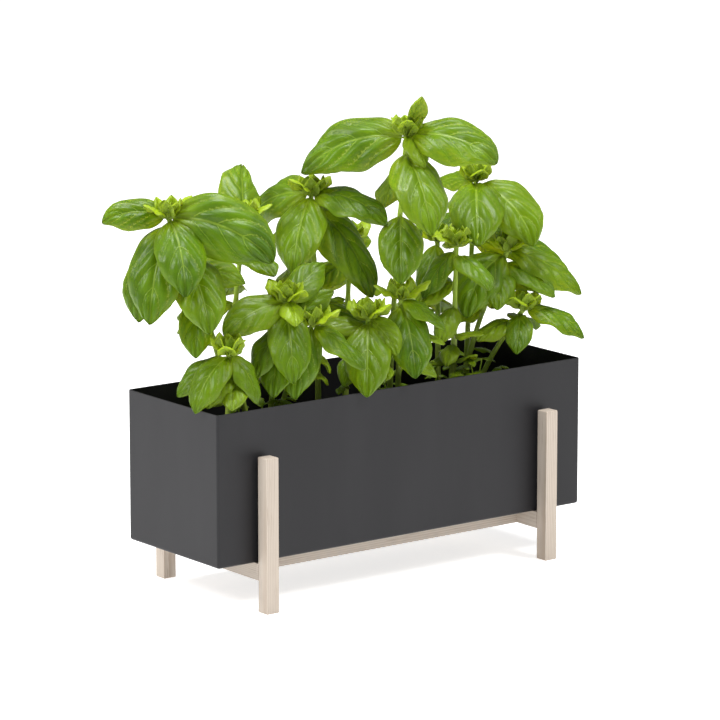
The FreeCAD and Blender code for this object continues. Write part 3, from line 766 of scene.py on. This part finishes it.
# Colours, as linear red, green and blue
leaf_dark, leaf_light = (0.036, 0.092, 0.0006, 1), (0.078, 0.165, 0.0012, 1)
leaf_warm, leaf_young, leaf_base = (0.140, 0.235, 0.002, 1), (0.29, 0.43, 0.012, 1), (0.23, 0.32, 0.008, 1)
leaf_edge, leaf_net, leaf_vein = (0.15, 0.25, 0.006, 1), (0.22, 0.33, 0.02, 1), (0.30, 0.44, 0.04, 1)
leaf_back = (0.16, 0.24, 0.035, 1)
stem_low, stem_high, stem_streak = (0.40, 0.50, 0.10, 1), (0.36, 0.52, 0.035, 1), (0.30, 0.42, 0.04, 1)
soil_dark, soil_light = (0.010, 0.006, 0.004, 1), (0.045, 0.027, 0.016, 1)
soil_crumb = (0.075, 0.045, 0.026, 1)
coat_dark, coat_light = (0.0086, 0.0081, 0.0099, 1), (0.0116, 0.0111, 0.0130, 1)
plastic_dark, plastic_light = (0.012, 0.012, 0.012, 1), (0.026, 0.026, 0.025, 1)
ash = ((0.54, 0.468, 0.395, 1), (0.40, 0.32, 0.25, 1), (0.26, 0.18, 0.12, 1))
beech = ((0.62, 0.44, 0.28, 1), (0.52, 0.35, 0.21, 1), (0.38, 0.24, 0.13, 1))
floor_dark, floor_light, white = (0.83, 0.83, 0.83, 1), (0.85, 0.85, 0.85, 1), (1.0, 1.0, 1.0, 1)

# Noise scales: more is finer
vein_wobble_scale, net_scale, patch_scale, wax_scale = 90.0, 420.0, 28.0, 120.0
pucker_scale, skin_scale, streak_scale, soil_scale = 150.0, 900.0, 900.0, 620.0
peel_scale, coat_cloud_scale, plastic_scale, floor_scale = 1500.0, 26.0, 700.0, 3.0
wood_warp_scale, wood_cloud_scale, pore_scale, pore_long_scale = 26.0, 60.0, 900.0, 28.0

# Year rings: how many to a metre, how far they waver in metres, and how a piece's length squeezes them
ring_density, ring_waver, grain_squeeze = 520.0, 0.012, 0.06

# Depths of the fine relief that each material's bump gives, in metres
leaf_bump, stem_bump, soil_bump = 0.00035, 0.0003, 0.001
coat_bump, plastic_bump, wood_bump = 0.00012, 0.0001, 0.00018

# Light that scatters inside leaves and stems: how much, how far in metres, and by colour
scatter_reach, leaf_scatter, stem_scatter = 0.003, 0.25, 0.3
leaf_scatter_colour, stem_scatter_colour = (0.8, 1.0, 0.1), (0.8, 1.0, 0.25)


def leaf_material():
    """A basil leaf: sunken pale veins on a waxy upper side, dull and pale below, yellower when young."""
    n = Nodes("basil_leaf")
    place = n.node("Attribute", attribute_name="leaf_place")
    look = n.node("Attribute", attribute_name="leaf_look")
    split = n.node("SeparateXYZ", {"Vector": place.outputs["Vector"]})
    s, w, length = split.outputs[0], split.outputs[1], split.outputs[2]
    split = n.node("SeparateXYZ", {"Vector": look.outputs["Vector"]})
    tone, young, under = split.outputs[0], split.outputs[1], split.outputs[2]
    here = n.here()

    lean = n.math("MULTIPLY_ADD", w, vein_arch, vein_lean)
    phase = n.math("SUBTRACT", s, n.math("MULTIPLY", w, lean))
    phase = n.math("MULTIPLY_ADD", phase, vein_count, vein_start)
    wobble = n.math("MULTIPLY_ADD", n.noise(here, vein_wobble_scale, 1.0), 0.14, -0.07)
    phase = n.math("ADD", phase, wobble)
    off = n.math("ABSOLUTE", n.math("SUBTRACT", n.math("FRACT", n.math("ADD", phase, 0.5)), 0.5))
    side_vein = n.steps(off, 0.0, 0.05, 1.0, 0.0)
    side_vein = n.math("MULTIPLY", side_vein, n.steps(w, 0.45, 0.95, 0.8, 0.1))
    side_vein = n.math("MULTIPLY", side_vein, n.steps(s, 0.93, 0.78))
    wide = n.math("MULTIPLY_ADD", s, -0.055, 0.075)
    midrib = n.steps(n.math("DIVIDE", w, wide), 0.15, 1.0, 1.0, 0.0)
    veins = n.math("MAXIMUM", side_vein, midrib)
    cells = n.node("TexVoronoi", {"Vector": here, "Scale": net_scale}, feature="DISTANCE_TO_EDGE")
    net = n.steps(cells.outputs["Distance"], 0.0, 0.12, 1.0, 0.0)

    patch = n.noise(here, patch_scale, 3.0)
    old = n.mix(n.steps(patch, 0.35, 0.65), leaf_dark, leaf_light)
    warm = n.mix(n.math("MULTIPLY_ADD", tone, 0.30, 0.30, clamp=True), old, leaf_warm)
    fresh = n.mix(young, warm, leaf_young)
    base = n.mix(n.steps(s, 0.30, 0.0, 0.0, 0.6), fresh, leaf_base)
    edge = n.mix(n.steps(w, 0.80, 1.0, 0.0, 0.35), base, leaf_edge)
    netted = n.mix(n.math("MULTIPLY", net, 0.06), edge, leaf_net)
    veined = n.mix(n.math("MULTIPLY", veins, 0.50), netted, leaf_vein)
    back = n.mix(0.6, veined, leaf_back)
    colour = n.mix(under, veined, back)

    fine = n.noise(here, skin_scale, 2.0)
    height = n.math("MULTIPLY", veins, -1.0)
    height = n.math("MULTIPLY_ADD", net, -0.10, height)
    height = n.math("MULTIPLY_ADD", fine, 0.05, height)
    height = n.math("MULTIPLY_ADD", n.noise(here, pucker_scale, 1.0), 0.8, height)
    flip = n.math("MULTIPLY_ADD", under, -2.0, 1.0)
    n.bump(n.math("MULTIPLY", height, flip), leaf_bump, 0.8)
    rough = n.math("MULTIPLY_ADD", under, 0.22, 0.29)
    rough = n.math("MULTIPLY_ADD", n.noise(here, wax_scale, 2.0), 0.12, rough)
    n.shader.inputs["Subsurface Radius"].default_value = leaf_scatter_colour
    return n.finish(colour, rough, Subsurface_Weight=leaf_scatter, Subsurface_Scale=scatter_reach, IOR=1.32)


def stem_material():
    """A juicy pale stem with fine streaks along it."""
    n = Nodes("basil_stem")
    look = n.node("Attribute", attribute_name="leaf_look")
    rise = n.node("SeparateXYZ", {"Vector": look.outputs["Vector"]}).outputs[0]
    here = n.here()
    streak = n.noise(n.stretched(here, (1.0, 1.0, 0.12)), streak_scale, 3.0)
    green = n.mix(n.steps(rise, 0.0, 0.9), stem_low, stem_high)
    colour = n.mix(n.steps(streak, 0.4, 0.7, 0.0, 0.55), green, stem_streak)
    n.bump(streak, stem_bump, 0.5)
    rough = n.math("MULTIPLY_ADD", streak, 0.2, 0.32)
    n.shader.inputs["Subsurface Radius"].default_value = stem_scatter_colour
    return n.finish(colour, rough, Subsurface_Weight=stem_scatter, Subsurface_Scale=scatter_reach, IOR=1.42)


def soil_material():
    """Damp dark soil, with each crumb a little lighter by its own value."""
    n = Nodes("damp_soil")
    here = n.here()
    look = n.node("Attribute", attribute_name="leaf_look")
    own = n.node("SeparateXYZ", {"Vector": look.outputs["Vector"]}).outputs[0]
    grain = n.noise(here, soil_scale, 6.0, 0.7)
    dark = n.mix(n.steps(grain, 0.35, 0.65), soil_dark, soil_light)
    colour = n.mix(n.math("MULTIPLY", own, 0.5), dark, soil_crumb)
    n.bump(grain, soil_bump, 0.9)
    return n.finish(colour, n.steps(grain, 0.2, 0.8, 0.7, 0.98))


def box_material():
    """Fine matt powder coat, nearly black grey."""
    n = Nodes("powder_coat")
    here = n.here()
    peel = n.noise(here, peel_scale, 2.0)
    cloud = n.noise(n.stretched(here, (1.0, 1.0, 0.2)), coat_cloud_scale, 3.0)
    colour = n.mix(n.steps(cloud, 0.3, 0.7), coat_dark, coat_light)
    n.bump(peel, coat_bump, 0.6)
    return n.finish(colour, n.math("MULTIPLY_ADD", peel, 0.10, 0.44), IOR=1.40)


def pot_material():
    """Thin black moulded plastic with a fine scuffed grain."""
    n = Nodes("black_plastic")
    here = n.here()
    grain = n.noise(n.stretched(here, (1.0, 1.0, 0.15)), plastic_scale, 3.0)
    colour = n.mix(n.steps(grain, 0.35, 0.7), plastic_dark, plastic_light)
    n.bump(grain, plastic_bump, 0.6)
    return n.finish(colour, n.math("MULTIPLY_ADD", grain, 0.25, 0.32))


def wood_material(name, long_axis, shift, tones):
    """Whitewashed ash: year rings about an axis beside the piece, with short pores along the grain."""
    n = Nodes(name)
    here = n.here()
    squeeze = [1.0, 1.0, 1.0]
    squeeze[long_axis] = grain_squeeze
    place = n.stretched(here, tuple(squeeze), shift)
    warp = n.noise(place, wood_warp_scale, 2.0)
    split = n.node("SeparateXYZ", {"Vector": place})
    across = [split.outputs[k] for k in range(3) if k != long_axis]
    spread = n.math("MULTIPLY_ADD", warp, ring_waver, across[0])
    radius = n.math("SQRT", n.math("ADD", n.math("POWER", spread, 2.0), n.math("POWER", across[1], 2.0)))
    ring = n.math("FRACT", n.math("MULTIPLY", radius, ring_density))
    late = n.steps(ring, 0.35, 0.95)
    thin = [pore_scale] * 3
    thin[long_axis] = pore_long_scale
    pores = n.noise(n.stretched(here, tuple(thin), shift), 1.0, 2.0, 0.6)
    pore = n.steps(pores, 0.60, 0.72)
    cloud = n.noise(place, wood_cloud_scale, 3.0)
    light, dark, deep = tones
    colour = n.mix(n.math("MULTIPLY", late, n.steps(cloud, 0.3, 0.7, 0.35, 0.9)), light, dark)
    colour = n.mix(n.math("MULTIPLY", pore, 0.6), colour, deep)
    height = n.math("MULTIPLY_ADD", pore, -1.0, n.math("MULTIPLY", late, -0.4))
    n.bump(height, wood_bump, 0.6)
    return n.finish(colour, n.math("MULTIPLY_ADD", late, 0.08, 0.55))


def dress(node, material):
    """Give a node that is carried over from the solids its material."""
    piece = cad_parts[node]
    piece.data.materials.clear()
    piece.data.materials.append(material)


wood_axes = {"leg_front_left": 2, "leg_front_right": 2, "leg_back_left": 2, "leg_back_right": 2,
             "cross_rail_left": 1, "cross_rail_right": 1, "long_rail_front": 0, "long_rail_back": 0}
for count, (node, axis) in enumerate(wood_axes.items()):
    shift = (0.031 * count + 0.05, 0.017 * count + 0.06, 0.023 * count + 0.04)
    dress(node, wood_material("ash_" + node, axis, shift, ash))
dress("leg_dowels", wood_material("beech_pegs", 1, (0.05, 0.06, 0.04), beech))
dress("rail_dowels", wood_material("beech_rail_pegs", 0, (0.07, 0.03, 0.05), beech))
dress("planter_box", box_material())
plastic = pot_material()
soil = soil_material()
for number, side in sides.items():
    dress("pot_" + side, plastic)
    make_soil(number, soil)
leaf_skin, stem_skin = leaf_material(), stem_material()
for shoot in shoot_shares:
    make_shoot(shoot, leaf_skin, stem_skin)
for number in sides:
    make_seedlings(number, leaf_skin)


# The floor, the light and the camera


floor_reach, floor_glow, sky_strength = 30, 0.66, 0.34

# Lamps: name, place, side of the square and power in watts, all turned to the middle of the planter
lamp_target = (0.0, 0.0, 0.25)
lamps = (
    ("key", (0.9, -2.2, 2.9), 0.8, 56.0),
    ("side", (-2.4, 0.4, 2.2), 0.8, 58.0),
    ("top", (0.0, 0.2, 3.0), 1.0, 70.0),
)

# The camera that was fitted to the photograph, with its focal length in pixels of the picture's width
camera_azimuth_deg, camera_elevation_deg, camera_distance = -37.25, 11.79, 4.2714
camera_target = (0.00278, 0.0, 0.20294)
focal_pixels, picture_pixels, sensor_width = 4494.5, 720, 36.0


def make_floor():
    """A pale plain floor that glows a little, so that it reads as white."""
    shape = Shape()
    r = floor_reach
    shape.add([(-r, -r, 0), (r, -r, 0), (r, r, 0), (-r, r, 0)], [(0, 1, 2, 3)])
    n = Nodes("pale_floor")
    tint = n.mix(n.noise(n.here(), floor_scale), floor_dark, floor_light)
    n.put(n.shader.inputs["Emission Color"], white)
    n.put(n.shader.inputs["Emission Strength"], floor_glow)
    floor = shape.piece("floor", n.finish(tint, 0.7), False)


def area_light(name, place, size, energy):
    """One square lamp, turned to the lamps' common target."""
    data = bpy.data.lights.new(name, "AREA")
    data.shape = "SQUARE"
    data.size = size
    data.energy = energy
    lamp = bpy.data.objects.new(name, data)
    lamp.location = place
    lamp.rotation_euler = (Vector(lamp_target) - Vector(place)).to_track_quat("-Z", "Y").to_euler()
    bpy.context.scene.collection.objects.link(lamp)


def make_light():
    """Soft studio light: an even pale sky and three square lamps."""
    world = bpy.data.worlds.new("studio")
    world.use_nodes = True
    background = world.node_tree.nodes["Background"]
    background.inputs["Color"].default_value = white
    background.inputs["Strength"].default_value = sky_strength
    bpy.context.scene.world = world
    for lamp in lamps:
        area_light(*lamp)
    bpy.context.scene.view_settings.view_transform = "Standard"


def make_camera():
    """The photograph's own view."""
    azimuth, elevation = math.radians(camera_azimuth_deg), math.radians(camera_elevation_deg)
    flat = math.cos(elevation)
    forward = Vector((-math.sin(azimuth) * flat, math.cos(azimuth) * flat, -math.sin(elevation)))
    data = bpy.data.cameras.new("camera")
    data.sensor_width = sensor_width
    data.lens = focal_pixels / picture_pixels * sensor_width
    camera = bpy.data.objects.new("camera", data)
    camera.location = Vector(camera_target) - forward * camera_distance
    camera.rotation_euler = forward.to_track_quat("-Z", "Y").to_euler()
    bpy.context.scene.collection.objects.link(camera)
    bpy.context.scene.camera = camera


make_floor()
make_light()
make_camera()
